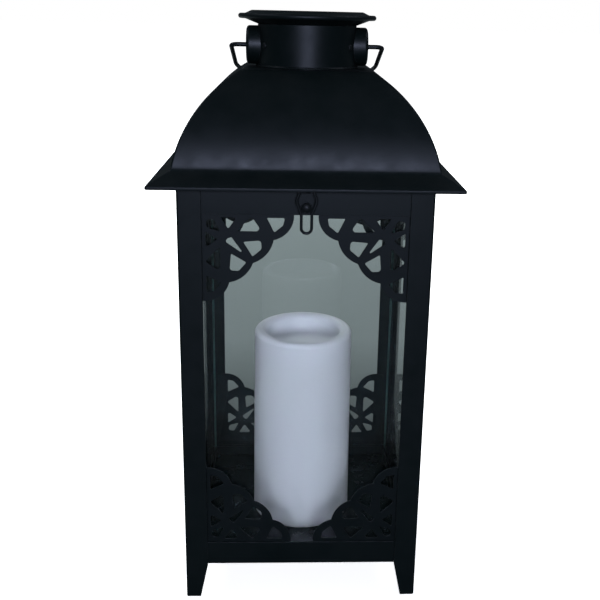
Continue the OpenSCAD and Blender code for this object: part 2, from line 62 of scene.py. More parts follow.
def make_camera():
    forward = Vector((
        math.sin(CAMERA_YAW) * math.cos(CAMERA_PITCH),
        math.cos(CAMERA_YAW) * math.cos(CAMERA_PITCH),
        -math.sin(CAMERA_PITCH),
    ))
    level = Vector((math.cos(CAMERA_YAW), -math.sin(CAMERA_YAW), 0))
    upright = level.cross(forward)
    right = level * math.cos(CAMERA_ROLL) - upright * math.sin(CAMERA_ROLL)
    up = level * math.sin(CAMERA_ROLL) + upright * math.cos(CAMERA_ROLL)
    data = bpy.data.cameras.new("camera")
    data.sensor_width = SENSOR
    data.lens = FOCAL_SHARE * SENSOR
    data.shift_x, data.shift_y = SHIFT
    camera = bpy.data.objects.new("camera", data)
    bpy.context.scene.collection.objects.link(camera)
    axes = Matrix((right, up, -forward)).transposed().to_4x4()
    camera.matrix_world = Matrix.Translation(CAMERA_AT) @ axes
    bpy.context.scene.camera = camera


make_camera()


# ---- materials ----

class Nodes:
    """A material's node tree with short ways to add to it."""

    def __init__(self, name):
        self.material = bpy.data.materials.new(name)
        self.material.use_nodes = True
        self.tree = self.material.node_tree
        self.shader = self.tree.nodes["Principled BSDF"]
        self.output = self.tree.nodes["Material Output"]
        self.place = self.add("ShaderNodeTexCoord").outputs["Object"]

    def add(self, kind, **settings):
        node = self.tree.nodes.new(kind)
        for key, value in settings.items():
            setattr(node, key, value)
        return node

    def link(self, source, target):
        self.tree.links.new(source, target)

    def put(self, node, **values):
        for key, value in values.items():
            socket = node.inputs[key.replace("_", " ")]
            if isinstance(value, bpy.types.NodeSocket):
                self.link(value, socket)
            else:
                socket.default_value = value
        return node

    def fill(self, sockets, values):
        """Links or sets each socket, in order. A colour may be given as three numbers."""
        for socket, value in zip(sockets, values):
            if isinstance(value, bpy.types.NodeSocket):
                self.link(value, socket)
            elif isinstance(value, tuple):
                socket.default_value = (*value[:3], 1.0)
            else:
                socket.default_value = value

    def noise(self, scale, detail=2.0, roughness=0.5, stretch=None):
        node = self.add("ShaderNodeTexNoise")
        self.put(node, Scale=scale, Detail=detail, Roughness=roughness, Vector=self.stretched(stretch))
        return node.outputs["Fac"]

    def stretched(self, stretch):
        if stretch is None:
            return self.place
        mapping = self.add("ShaderNodeMapping")
        self.put(mapping, Vector=self.place, Scale=stretch)
        return mapping.outputs["Vector"]

    def math(self, operation, a, b=0.0, clamp=False):
        node = self.add("ShaderNodeMath", operation=operation, use_clamp=clamp)
        self.fill(node.inputs, (a, b))
        return node.outputs[0]

    def span(self, value, low, high, to_low=0.0, to_high=1.0):
        node = self.add("ShaderNodeMapRange", clamp=True)
        self.fill(node.inputs, (value, low, high, to_low, to_high))
        return node.outputs["Result"]

    def blend(self, share, a, b):
        node = self.add("ShaderNodeMix", data_type="RGBA")
        self.fill((node.inputs[0], node.inputs[6], node.inputs[7]), (share, a, b))
        return node.outputs[2]

    def bump(self, height, distance, strength=1.0, under=None):
        node = self.add("ShaderNodeBump")
        self.put(node, Height=height, Distance=distance, Strength=strength)
        if under is not None:
            self.link(under, node.inputs["Normal"])
        return node.outputs["Normal"]

    def edges(self, radius=0.0007):
        """1 close to sharp edges, 0 on flat faces."""
        turned = self.put(self.add("ShaderNodeBevel", samples=4), Radius=radius)
        compare = self.add("ShaderNodeVectorMath", operation="DOT_PRODUCT")
        self.link(turned.outputs["Normal"], compare.inputs[0])
        self.link(self.add("ShaderNodeNewGeometry").outputs["Normal"], compare.inputs[1])
        return self.span(compare.outputs["Value"], 0.985, 0.88)

    def facing_up(self):
        split = self.add("ShaderNodeSeparateXYZ")
        self.link(self.add("ShaderNodeNewGeometry").outputs["Normal"], split.inputs[0])
        return self.span(split.outputs["Z"], 0.3, 0.95)


PAINT_GLOSS = 0.30            # specular level of the paint
PAINT_SHEEN = (0.76, 0.82, 1.0, 1.0)


def paint(name, colour, tint, roughness, grain=1500.0, dust=0.1, gloss_level=PAINT_GLOSS):
    """Satin black paint on sheet steel: fine orange peel, uneven gloss, rubbed edges and a little dust."""
    n = Nodes(name)
    patches = n.noise(22.0, 3.0)
    body = n.blend(n.span(patches, 0.35, 0.65), colour, tint)
    scuffs = n.noise(160.0, 4.0, 0.65)
    worn = n.math("MULTIPLY", n.edges(), n.span(scuffs, 0.42, 0.62), clamp=True)
    body = n.blend(n.math("MULTIPLY", worn, 0.4), body, (0.07, 0.075, 0.08))
    dusty = n.math("MULTIPLY", n.facing_up(), n.span(n.noise(55.0, 5.0, 0.7), 0.4, 0.75), clamp=True)
    body = n.blend(n.math("MULTIPLY", dusty, 0.10 * dust), body, (0.42, 0.41, 0.39))
    gloss = n.span(n.noise(70.0, 4.0, 0.6), 0.3, 0.7, roughness - 0.05, roughness + 0.07)
    gloss = n.math("ADD", gloss, n.math("MULTIPLY", dusty, 0.16 * dust))
    peel = n.bump(n.noise(grain, 2.0), 0.00006, 0.55)
    waves = n.bump(n.noise(38.0, 1.0), 0.0005, 0.10, under=peel)
    n.put(n.shader, Base_Color=body, Roughness=gloss, Normal=waves)
    n.put(n.shader, Specular_IOR_Level=gloss_level, IOR=1.5, Specular_Tint=PAINT_SHEEN)
    return n.material


def clear_pane(name, colour, roughness):
    """Clear glass that lets lamps through, with faint smears and specks."""
    n = Nodes(name)
    smear = n.span(n.noise(9.0, 4.0, 0.6, stretch=(1.0, 1.0, 0.35)), 0.5, 0.85, roughness, roughness + 0.04)
    n.put(n.shader, Base_Color=(*colour, 1.0), Roughness=smear, IOR=1.45, Transmission_Weight=1.0)
    n.put(n.shader, Normal=n.bump(n.noise(6.0, 1.0), 0.0006, 0.12))
    clear = n.put(n.add("ShaderNodeBsdfTransparent"), Color=(*colour, 1.0))
    pick = n.add("ShaderNodeMixShader")
    n.link(n.add("ShaderNodeLightPath").outputs["Is Shadow Ray"], pick.inputs[0])
    n.link(n.shader.outputs[0], pick.inputs[1])
    n.link(clear.outputs[0], pick.inputs[2])
    n.link(pick.outputs[0], n.output.inputs["Surface"])
    return n.material


def pane_edge(name):
    """The ground edge of a pane, which looks darker and greener than its faces."""
    n = Nodes(name)
    tone = n.blend(n.noise(300.0, 3.0), (0.09, 0.21, 0.20), (0.17, 0.31, 0.30))
    n.put(n.shader, Base_Color=tone, Roughness=n.span(n.noise(900.0), 0.3, 0.7, 0.22, 0.5))
    n.put(n.shader, Normal=n.bump(n.noise(1400.0), 0.00008, 0.5))
    return n.material


def wax(name):
    """Smooth, faintly bluish white wax that lets a little light in."""
    n = Nodes(name)
    tone = n.blend(n.span(n.noise(14.0, 3.0), 0.3, 0.7), (0.76, 0.77, 0.82), (0.81, 0.82, 0.865))
    handled = n.span(n.noise(45.0, 5.0, 0.6, stretch=(1, 1, 0.4)), 0.35, 0.7, 0.38, 0.55)
    skin = n.bump(n.noise(420.0, 3.0), 0.00008, 0.35)
    ripple = n.bump(n.noise(20.0, 2.0, stretch=(1, 1, 0.5)), 0.0007, 0.2, under=skin)
    n.put(n.shader, Base_Color=tone, Roughness=handled, Normal=ripple)
    n.put(n.shader, Subsurface_Weight=0.35, Subsurface_Scale=0.006, IOR=1.44)
    n.put(n.shader, Subsurface_Radius=(1.0, 0.9, 1.0))
    return n.material


def plastic(name, colour, tint, roughness, grain=1800.0, depth=0.00007):
    """Moulded plastic with a fine grain and paler edges."""
    n = Nodes(name)
    tone = n.blend(n.noise(60.0, 3.0), colour, tint)
    tone = n.blend(n.math("MULTIPLY", n.edges(), 0.2), tone, tuple(min(1.0, c * 2 + 0.04) for c in tint))
    gloss = n.span(n.noise(120.0, 3.0), 0.3, 0.7, roughness - 0.07, roughness + 0.07)
    n.put(n.shader, Base_Color=tone, Roughness=gloss, Normal=n.bump(n.noise(grain, 2.0), depth, 0.6))
    return n.material


def metal(name, colour, roughness):
    """Plated steel with fine scratches."""
    n = Nodes(name)
    streaks = n.noise(900.0, 3.0, 0.6, stretch=(1, 1, 1))
    tone = n.blend(n.noise(120.0, 4.0), colour, tuple(c * 0.72 for c in colour))
    gloss = n.span(streaks, 0.3, 0.7, roughness - 0.08, roughness + 0.14)
    n.put(n.shader, Base_Color=tone, Roughness=gloss, Metallic=1.0)
    n.put(n.shader, Normal=n.bump(streaks, 0.00003, 0.5))
    return n.material


def rubber(name):
    """Dull foam rubber."""
    n = Nodes(name)
    tone = n.blend(n.noise(200.0, 4.0), (0.012, 0.012, 0.012), (0.035, 0.034, 0.033))
    n.put(n.shader, Base_Color=tone, Roughness=n.span(n.noise(500.0), 0.3, 0.7, 0.7, 0.9))
    n.put(n.shader, Normal=n.bump(n.noise(2200.0, 3.0), 0.00015, 0.6))
    return n.material


def stripes(n, axis, pitch, width):
    """1 on lines of that width across the axis, pitch apart, in metres."""
    split = n.add("ShaderNodeSeparateXYZ")
    n.link(n.place, split.inputs[0])
    phase = n.math("FRACT", n.math("MULTIPLY", n.math("ADD", split.outputs[axis], 10.0), 1.0 / pitch))
    return n.math("LESS_THAN", n.math("ABSOLUTE", n.math("SUBTRACT", phase, 0.5)), width / pitch / 2)


def solar_cells(name):
    """Dark blue silicon with fine silver fingers and wider busbars."""
    n = Nodes(name)
    crystal = n.add("ShaderNodeTexVoronoi")
    n.put(crystal, Vector=n.place, Scale=420.0)
    base = n.blend(crystal.outputs["Distance"], (0.006, 0.010, 0.035), (0.016, 0.028, 0.085))
    base = n.blend(n.noise(30.0, 2.0), base, (0.010, 0.016, 0.05))
    fingers = stripes(n, "X", 0.0021, 0.00016)
    bars = stripes(n, "Y", 0.017, 0.0013)
    gaps = stripes(n, "X", 0.0126, 0.0005)
    tone = n.blend(n.math("MAXIMUM", n.math("MULTIPLY", fingers, 0.55), bars), base, (0.52, 0.53, 0.55))
    tone = n.blend(gaps, tone, (0.02, 0.02, 0.022))
    n.put(n.shader, Base_Color=tone, Roughness=n.span(n.noise(80.0), 0.3, 0.7, 0.16, 0.26))
    n.put(n.shader, Coat_Weight=0.6, Coat_Roughness=0.05)
    n.put(n.shader, Normal=n.bump(bars, 0.00008, 0.4))
    return n.material


GLASS_EDGE = pane_edge("glass_edge")
TRAY_PAINT = paint("tray_paint", (0.0026, 0.0060, 0.0062), (0.0038, 0.0074, 0.0078), 0.24, dust=0.0,
                   gloss_level=0.5)
MATERIALS = {
    "frame_paint": paint("frame_paint", (0.0030, 0.0070, 0.0072), (0.0045, 0.0088, 0.0090), 0.44),
    "fret_paint": paint("fret_paint", (0.0036, 0.0074, 0.0080), (0.0052, 0.0094, 0.0102), 0.46),
    "roof_paint": paint("roof_paint", (0.0026, 0.0066, 0.0068), (0.0038, 0.0080, 0.0084), 0.42,
                        gloss_level=0.34),
    "wire_paint": paint("wire_paint", (0.006, 0.009, 0.010), (0.010, 0.013, 0.014), 0.40, grain=2600.0),
    "clear_glass": clear_pane("clear_glass", (0.93, 0.955, 0.955), 0.0),
    "wax_white": wax("wax_white"),
    "candle_plastic": plastic("candle_plastic", (0.70, 0.70, 0.73), (0.76, 0.76, 0.79), 0.45),
    "module_plastic": plastic("module_plastic", (0.012, 0.012, 0.013), (0.02, 0.02, 0.022), 0.52),
    "solar_cell": solar_cells("solar_cell"),
    "window_plastic": clear_pane("window_plastic", (0.95, 0.97, 0.97), 0.02),
    "lens_plastic": clear_pane("lens_plastic", (0.96, 0.97, 0.98), 0.05),
    "seal_rubber": rubber("seal_rubber"),
    "board": plastic("board", (0.010, 0.09, 0.035), (0.016, 0.13, 0.05), 0.3, grain=700.0),
    "cell_wrap": plastic("cell_wrap", (0.03, 0.20, 0.09), (0.04, 0.26, 0.12), 0.28, grain=400.0, depth=0.00003),
    "plated_steel": metal("plated_steel", (0.58, 0.59, 0.61), 0.3),
    "amber_led": plastic("amber_led", (0.75, 0.48, 0.12), (0.85, 0.60, 0.20), 0.15, grain=500.0, depth=0.00002),
    "switch_red": plastic("switch_red", (0.38, 0.025, 0.02), (0.45, 0.035, 0.028), 0.32),
}


# ---- mesh helpers; their coordinates are in millimetres ----

def flat_faces_stay_flat(piece):
    """Smooth shading that bends only over the small faces along an edge."""
    shading = piece.modifiers.new("shading", "WEIGHTED_NORMAL")
    shading.keep_sharp = True
    shading.weight = 80


def finish_piece(piece, body, slot, *nodes, smooth=35.0):
    """Gives a new piece the material named by slot and its body, and hides the CAD nodes that it stands for."""
    if not piece.data.materials:
        piece.data.materials.append(MATERIALS[slot])
    if smooth:
        piece.data.polygons.foreach_set("use_smooth", [True] * len(piece.data.polygons))
        piece.data.set_sharp_from_angle(angle=math.radians(smooth))
        flat_faces_stay_flat(piece)
    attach(piece, body)
    if nodes:
        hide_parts(*nodes)
    return piece


def mesh_piece(name, points, faces):
    mesh = bpy.data.meshes.new(name)
    mesh.from_pydata([Vector(p) * MM for p in points], [], faces)
    mesh.validate()
    mesh.update()
    piece = bpy.data.objects.new(name, mesh)
    bpy.context.scene.collection.objects.link(piece)
    return piece


def apply_modifiers(piece):
    mesh = bpy.data.meshes.new_from_object(piece.evaluated_get(bpy.context.evaluated_depsgraph_get()))
    piece.modifiers.clear()
    piece.data = mesh
    return piece


def bevelled(piece, width_mm):
    """Rounds all edges of a box."""
    modifier = piece.modifiers.new("bevel", "BEVEL")
    modifier.width = width_mm * MM
    modifier.segments = 3
    modifier.limit_method = "ANGLE"
    modifier.angle_limit = math.radians(30)
    return apply_modifiers(piece)


def rings_mesh(rings, closed_tube=False):
    """Points and quads of a skin through rings that all have as many points."""
    count = len(rings[0])
    points = [p for ring in rings for p in ring]
    faces = []
    last = len(rings) if closed_tube else len(rings) - 1
    for i in range(last):
        j = (i + 1) % len(rings)
        for k in range(count):
            m = (k + 1) % count
            faces.append((i * count + k, j * count + k, j * count + m, i * count + m))
    return points, faces


def arc(centre, radius, start, end, steps):
    """Points of an arc in a plane, angles in degrees."""
    return [
        (centre[0] + radius * math.cos(math.radians(start + (end - start) * i / steps)),
         centre[1] + radius * math.sin(math.radians(start + (end - start) * i / steps)))
        for i in range(steps + 1)
    ]


def lathe(name, profile, turns=128):
    """Turns the closed profile of (radius, height) points about the lantern's axis."""
    bearings = [2 * math.pi * k / turns for k in range(turns)]
    rings = [[(r * math.cos(a), r * math.sin(a), h) for a in bearings] for r, h in profile]
    return mesh_piece(name, *rings_mesh(rings, closed_tube=True))


def tube(name, path, radius, sides, closed=False):
    """A round wire along path, carried without twist."""
    points = [Vector(p) for p in path]
    count = len(points)
    tangents = []
    for i in range(count):
        before = points[i - 1] if closed or i else points[0]
        after = points[(i + 1) % count] if closed or i < count - 1 else points[-1]
        tangents.append((after - before).normalized())
    side = tangents[0].orthogonal().normalized()
    rings = []
    for p, t in zip(points, tangents):
        side = (side - t * side.dot(t)).normalized()
        other = t.cross(side)
        bearings = [2 * math.pi * k / sides for k in range(sides)]
        rings.append([p + side * radius * math.cos(a) + other * radius * math.sin(a) for a in bearings])
    pts, faces = rings_mesh(rings, closed_tube=closed)
    if not closed:
        faces.append(tuple(range(sides)))
        faces.append(tuple((count - 1) * sides + k for k in reversed(range(sides))))
    return mesh_piece(name, pts, faces)


def rounded(corners, radii, steps=6):
    """The closed outline through corners, each rounded to its radius."""
    outline = []
    count = len(corners)
    for i in range(count):
        b = Vector(corners[i])
        u = (Vector(corners[i - 1]) - b).normalized()
        v = (Vector(corners[(i + 1) % count]) - b).normalized()
        half = math.acos(max(-1.0, min(1.0, u.dot(v)))) / 2
        centre = b + (u + v).normalized() * radii[i] / math.sin(half)
        start = b + u * radii[i] / math.tan(half) - centre
        end = b + v * radii[i] / math.tan(half) - centre
        for s in range(steps + 1):
            d = start.lerp(end, s / steps).normalized() * radii[i]
            outline.append(tuple(centre + d))
    return outline


def plate(name, outlines, thickness):
    """A sheet with round-edged cuts. The first outline is its rim, the others are holes; all in X and Y mm."""
    edge = 0.15
    curve = bpy.data.curves.new(name, "CURVE")
    curve.dimensions = "2D"
    curve.fill_mode = "BOTH"
    curve.extrude = (thickness / 2 - edge) * MM
    curve.bevel_depth = edge * MM
    curve.bevel_resolution = 1
    curve.offset = -edge * MM
    for outline in outlines:
        spline = curve.splines.new("POLY")
        spline.points.add(len(outline) - 1)
        for point, (x, y) in zip(spline.points, outline):
            point.co = (x * MM, y * MM, 0, 1)
        spline.use_cyclic_u = True
    holder = bpy.data.objects.new(name, curve)
    bpy.context.scene.collection.objects.link(holder)
    mesh = bpy.data.meshes.new_from_object(holder.evaluated_get(bpy.context.evaluated_depsgraph_get()))
    bpy.data.objects.remove(holder)
    bpy.data.curves.remove(curve)
    return mesh


def stood(mesh, side, face):
    """Turns a plate drawn in X and Y so that it stands on a side of the body: 0 front, 1 right, 2 rear, 3 left.
    face is the distance of its middle from the lantern's axis, in mm."""
    upright = Matrix.Translation((0, -face * MM, 0)) @ Matrix.Rotation(math.radians(90), 4, "X")
    mesh.transform(Matrix.Rotation(math.radians(90 * side), 4, "Z") @ upright)
    return mesh


def joined(name, meshes):
    """One object from several meshes."""
    points, faces = [], []
    for mesh in meshes:
        base = len(points)
        points += [v.co / MM for v in mesh.vertices]
        faces += [tuple(base + i for i in p.vertices) for p in mesh.polygons]
        bpy.data.meshes.remove(mesh)
    return mesh_piece(name, points, faces)


def dress(node, slot, bevel_mm=0.0, material=None):
    """Gives a CAD node its material, soft edges and smooth curved faces. Its own mesh stays as it is."""
    item = frame["nodes"][node]
    item.data.materials.clear()
    item.data.materials.append(material or MATERIALS[slot])
    weld = item.modifiers.new("weld", "WELD")
    weld.merge_threshold = 0.000002
    flat = item.modifiers.new("flat", "DECIMATE")
    flat.decimate_type = "DISSOLVE"
    flat.angle_limit = math.radians(0.6)
    item.data.polygons.foreach_set("use_smooth", [True] * len(item.data.polygons))
    if bevel_mm:
        bevel = item.modifiers.new("bevel", "BEVEL")
        bevel.width = bevel_mm * MM
        bevel.segments = 2
        bevel.limit_method = "ANGLE"
        bevel.angle_limit = math.radians(40)
        flat_faces_stay_flat(item)
    else:
        split = item.modifiers.new("split", "EDGE_SPLIT")
        split.split_angle = math.radians(35)


def mm_box(node):
    low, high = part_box(node)
    return low / MM, high / MM


# ---- body frame ----

SIDES = ("front", "right", "rear", "left")
POSTS = ("post_front_right", "post_rear_right", "post_rear_left", "post_front_left")
HALF = mm_box("post_front_right")[1].x
POST_W = HALF - mm_box("post_front_right")[0].x
BODY_TOP = mm_box("post_front_right")[1].z
SHEET = 1.2                   # thickness of the sheet steel
FOOT_W = 10.5                 # width of a post's legs at the ground
RAIL_LOW, RAIL_HIGH = mm_box("bottom_rail_front")
TOP_RAIL_LOW = mm_box("top_rail_front")[0]
OPENING = HALF - POST_W       # half the width between two posts


def post_section(leg):
    """Section of a folded corner post with its corner at (HALF, -HALF), for legs of the given width."""
    bend, steps = 1.7, 5
    outer = arc((HALF - bend, -HALF + bend), bend, -90, 0, steps)
    inner = arc((HALF - bend, -HALF + bend), bend - SHEET, 0, -90, steps)
    edge = 0.3
    first = [(HALF - leg, -HALF + edge), (HALF - leg + edge, -HALF)]
    last = [(HALF, -HALF + leg - edge), (HALF - edge, -HALF + leg)]
    back = [(HALF - SHEET + edge, -HALF + leg), (HALF - SHEET, -HALF + leg - edge)]
    front = [(HALF - leg + edge, -HALF + SHEET), (HALF - leg, -HALF + SHEET - edge)]
    return first + outer + last + back + inner + front


def post(side):
    """A folded corner post: its legs narrow from the bottom rail down to the foot."""
    heights = [(0.0, FOOT_W), (0.25, FOOT_W), (RAIL_LOW.z - 1.6, POST_W - 0.15), (RAIL_LOW.z - 0.6, POST_W),
               (BODY_TOP - 0.25, POST_W), (BODY_TOP, POST_W)]
    rings = [[(x, y, z) for x, y in post_section(leg)] for z, leg in heights]
    points, faces = rings_mesh(rings)
    count = len(rings[0])
    half = count // 2
    for base, flip in ((0, True), ((len(rings) - 1) * count, False)):
        for k in range(half - 1):
            quad = (base + k, base + k + 1, base + count - 2 - k, base + count - 1 - k)
            faces.append(tuple(reversed(quad)) if flip else quad)
    turn = Matrix.Rotation(math.radians(90 * side), 3, "Z")
    piece = mesh_piece(POSTS[side] + "_sheet", [turn @ Vector(p) for p in points], faces)
    return finish_piece(piece, "body", "frame_paint", POSTS[side])


def rounded_box(name, low, high, edge):
    (x0, y0, z0), (x1, y1, z1) = low, high
    points = [(x, y, z) for x in (x0, x1) for y in (y0, y1) for z in (z0, z1)]
    faces = [(0, 1, 3, 2), (4, 6, 7, 5), (0, 4, 5, 1), (2, 3, 7, 6), (0, 2, 6, 4), (1, 5, 7, 3)]
    return bevelled(mesh_piece(name, points, faces), edge)


for side_index in range(4):
    post(side_index)
for side_name in SIDES:
    dress("bottom_rail_" + side_name, "frame_paint", 0.3)
    dress("top_rail_" + side_name, "frame_paint", 0.3)


# ---- fretwork ----

LOBE_NEAR, LOBE_NEAR_R = Vector((43.0, 1.0)), 16.6
LOBE_MID, LOBE_MID_R = Vector((26.3, 13.6)), 20.5
FRET_LAP = 6.0


def crossing(a, ra, b, rb):
    """The crossing of two circles that lies farther from the corner."""
    gap = (b - a).length
    along = (ra * ra - rb * rb + gap * gap) / (2 * gap)
    high = math.sqrt(ra * ra - along * along)
    u = (b - a) / gap
    both = [a + u * along + Vector((-u.y, u.x)) * s * high for s in (1, -1)]
    return max(both, key=lambda p: p.length)


def bearing(centre, p):
    return math.degrees(math.atan2(p.y - centre.y, p.x - centre.x))


def swapped(points):
    return [(y, x) for x, y in points]


def fret_rim():
    """Outline of one corner of the fretwork: four scallops between its two straight sides."""
    notch = crossing(LOBE_NEAR, LOBE_NEAR_R, LOBE_MID, LOBE_MID_R)
    middle = crossing(LOBE_MID, LOBE_MID_R, Vector((LOBE_MID.y, LOBE_MID.x)), LOBE_MID_R)
    start = -math.degrees(math.asin((LOBE_NEAR.y + FRET_LAP) / LOBE_NEAR_R))
    near = arc(LOBE_NEAR, LOBE_NEAR_R, start, bearing(LOBE_NEAR, notch), 18)
    mid = arc(LOBE_MID, LOBE_MID_R, bearing(LOBE_MID, notch), bearing(LOBE_MID, middle), 14)
    half = near + mid[1:]
    return [(-FRET_LAP, -FRET_LAP)] + half + swapped(reversed(half[:-1]))


def fret_holes():
    one_side = [
        rounded([(12, 2.3), (22.4, 2.3), (17, 10)], [0.5, 1.2, 0.7]),
        rounded([(32.2, 1.6), (38.8, 11.5), (22.2, 11.5)], [1.5, 2, 0.5]),
        rounded([(42, 2.4), (53.6, 2.4), (52.6, 7.5), (46.8, 12.2)], [0.5, 0.8, 3, 0.8]),
        rounded([(26.6, 18.6), (38.2, 17.6), (38.6, 23.6), (32.6, 28.6)], [0.6, 2, 2.6, 0.8]),
    ]
    return one_side + [swapped(h) for h in one_side] + [
        rounded([(2.6, 4.6), (7.4, 3.4), (11.8, 11.8), (3.4, 9.4)], [1.6, 2, 0.5, 2]),
        rounded([(14.6, 18.4), (18.4, 14.6), (27.4, 27.4)], [1.6, 1.6, 0.6]),
    ]


def fretwork(side):
    low, high = mm_box("fretwork_front")
    thickness = high.y - low.y
    outlines = [fret_rim()] + fret_holes()
    meshes = []
    for mirror_x in (1, -1):
        for corner_z, mirror_z in ((TOP_RAIL_LOW.z, -1), (RAIL_HIGH.z, 1)):
            placed = [[(mirror_x * (x - OPENING), corner_z + mirror_z * y) for x, y in o] for o in outlines]
            meshes.append(stood(plate("fret", placed, thickness), side, -(low.y + high.y) / 2))
    piece = joined("fretwork_sheet_" + SIDES[side], meshes)
    return finish_piece(piece, "body", "fret_paint", "fretwork_" + SIDES[side], smooth=50)


for side_index in range(4):
    fretwork(side_index)


# ---- glass, its channels, floor ----

def pane(side):
    node = "glass_" + SIDES[side]
    low, high = mm_box(node)
    piece = rounded_box(node + "_pane", low, high, 0.35)
    piece.data.materials.append(MATERIALS["clear_glass"])
    piece.data.materials.append(GLASS_EDGE)
    across = 1 if side % 2 == 0 else 0
    for face in piece.data.polygons:
        face.material_index = 0 if abs(face.normal[across]) > 0.99 else 1
    return finish_piece(piece, "body", "clear_glass", node, smooth=0)


for side_index in range(4):
    pane(side_index)
dress("glass_channel_bottom", "frame_paint", 0.2)
dress("glass_channel_top", "frame_paint", 0.2)
dress("floor_tray", "frame_paint", 0.25, material=TRAY_PAINT)
dress("candle_seat", "frame_paint", 0.3)
dress("seat_rivets", "plated_steel", 0.15)
dress("latch_stud", "wire_paint")
dress("hinge_leaf_body", "frame_paint", 0.2)
dress("hinge_pins", "plated_steel", 0.15)
dress("hinge_rivets", "wire_paint", 0.15)


# ---- candle ----

def candle():
    """A hollow-topped pillar: outside wall, rolled lip, shallow well, and the cavity over its base."""
    low, high = mm_box("candle_shell")
    foot, top = low.z, high.z
    radius = high.x
    radius_top = radius * 0.98
    lip, lip_inside = 4.0, 4.2
    well, well_floor = 28.0, top - 13.0
    corner = 6.0                  # between the well's wall and its floor
    wall, roof_t = 3.1, 3.0       # of the cavity over the base
    wall_low, wall_high = foot + 1, top - lip
    outside = arc((radius - 0.8, foot + 0.8), 0.8, -90, -2, 5)
    for i in range(1, 8):
        share = i / 8
        outside.append((radius + (radius_top - radius) * share, wall_low + (wall_high - wall_low) * share))
    lip_out = arc((radius_top - lip, top - lip), lip, 1, 80, 9)
    lip_in = arc((well + lip_inside, top - lip_inside), lip_inside, 104, 176, 9)
    bowl = arc((well - corner, well_floor + corner), corner, -2, -84, 8)
    centre = 0.05                 # a pinhole on the axis keeps the profile clear of it
    floor_in = [(12, well_floor - 0.25), (4, well_floor - 0.4), (centre, well_floor - 0.42)]
    cavity_top = well_floor - roof_t
    under = [(centre, cavity_top), (radius - wall - 1.4, cavity_top), (radius - wall, cavity_top - 2),
             (radius - wall, foot)]
    piece = lathe("candle_wax", outside + lip_out + lip_in + bowl + floor_in + under)
    return finish_piece(piece, "candle", "wax_white", "candle_shell", smooth=60)


candle()
dress("candle_base", "candle_plastic", 0.3)


# ---- roof ----

EAVE = mm_box("roof_shell")[1].x
EAVE_Z = mm_box("roof_shell")[0].z
CROWN_Z = mm_box("roof_shell")[1].z
DOME_R, DOME_Z = 86.6, 301.0  # radius of the dome's sides and the height of their centre
FLARE, FLARE_Z = 86.3, 315.7  # where the dome meets the flared eave
DOME_SHIFT = FLARE - math.sqrt(DOME_R ** 2 - (FLARE_Z - DOME_Z) ** 2)
HEM = 1.2                     # how far the eave's edge is turned down
MODULE_HOLE = mm_box("module_housing")[1].x + 0.4
COLLAR_R = 34.6


def square_ring(half, corner, z, per_side=14, per_corner=6):
    """A level ring round a square with rounded corners, starting in the middle of the right side."""
    quarter = []
    flat = half - corner
    for i in range(per_side):
        quarter.append((half, flat * (2 * i / per_side - 1)))
    for x, y in arc((flat, flat), corner, 0, 90, per_corner)[:-1]:
        quarter.append((x, y))
    ring = []
    for turn in range(4):
        c, s = round(math.cos(turn * math.pi / 2)), round(math.sin(turn * math.pi / 2))
        ring += [(c * x - s * y, s * x + c * y, z) for x, y in quarter]
    return ring


def round_ring(radius, z):
    """A circle with its points at the same bearings as square_ring's."""
    return [(radius * x / math.hypot(x, y), radius * y / math.hypot(x, y), z)
            for x, y, _ in square_ring(1.0, 0.05, 0)]


def roof():
    """The pressed roof: flat crown, domed sides, flared eave with its edge turned down, and the inside."""
    crown_half = DOME_SHIFT + math.sqrt(DOME_R ** 2 - (CROWN_Z - DOME_Z) ** 2)
    hip = 1.3                     # rounding of the four hips
    rings = [round_ring(MODULE_HOLE, CROWN_Z), round_ring(37.0, CROWN_Z)]
    rings.append(square_ring(crown_half - 1.6, hip, CROWN_Z))
    rings.append(square_ring(crown_half - 0.8, hip, CROWN_Z - 0.07))
    top_angle = math.degrees(math.asin((CROWN_Z - DOME_Z) / DOME_R))
    low_angle = math.degrees(math.asin((FLARE_Z - DOME_Z) / DOME_R))
    for h, z in arc((DOME_SHIFT, DOME_Z), DOME_R, top_angle - 0.5, low_angle + 1.2, 40):
        rings.append(square_ring(h, hip, z))
    slope = (FLARE_Z - EAVE_Z - HEM - SHEET) / (EAVE - FLARE)
    fillet = [(FLARE + 0.15, FLARE_Z + 0.95), (FLARE + 0.5, FLARE_Z + 0.3), (FLARE + 1.1, FLARE_Z - 0.35)]
    rings += [square_ring(h, hip, z) for h, z in fillet]
    eave_from, eave_to = FLARE + 1.1, EAVE - 1.9
    for i in range(1, 8):
        h = eave_from + (eave_to - eave_from) * i / 7
        rings.append(square_ring(h, hip, FLARE_Z - (h - FLARE) * slope))
    hem = arc((EAVE - 0.9, EAVE_Z + HEM + 0.35), 0.9, 58, 0, 6)
    hem += arc((EAVE - 0.6, EAVE_Z + 0.6), 0.6, 0, -180, 10)
    rings += [square_ring(h, hip + 0.2, z) for h, z in hem]
    rings.append(square_ring(EAVE - 1.3, hip, EAVE_Z + HEM - 0.2))
    rings.append(square_ring(EAVE - 2.0, hip, EAVE_Z + HEM + 0.3))
    rings.append(square_ring(FLARE - 0.9, hip, FLARE_Z - 1.4))
    for h, z in arc((DOME_SHIFT, DOME_Z), DOME_R - SHEET, low_angle, top_angle, 24):
        rings.append(square_ring(h, 1.0, min(z, CROWN_Z - SHEET)))
    rings.append(round_ring(MODULE_HOLE, CROWN_Z - SHEET))
    piece = mesh_piece("roof_skin", *rings_mesh(rings, closed_tube=True))
    return finish_piece(piece, "roof", "roof_paint", "roof_shell", smooth=28)


roof()


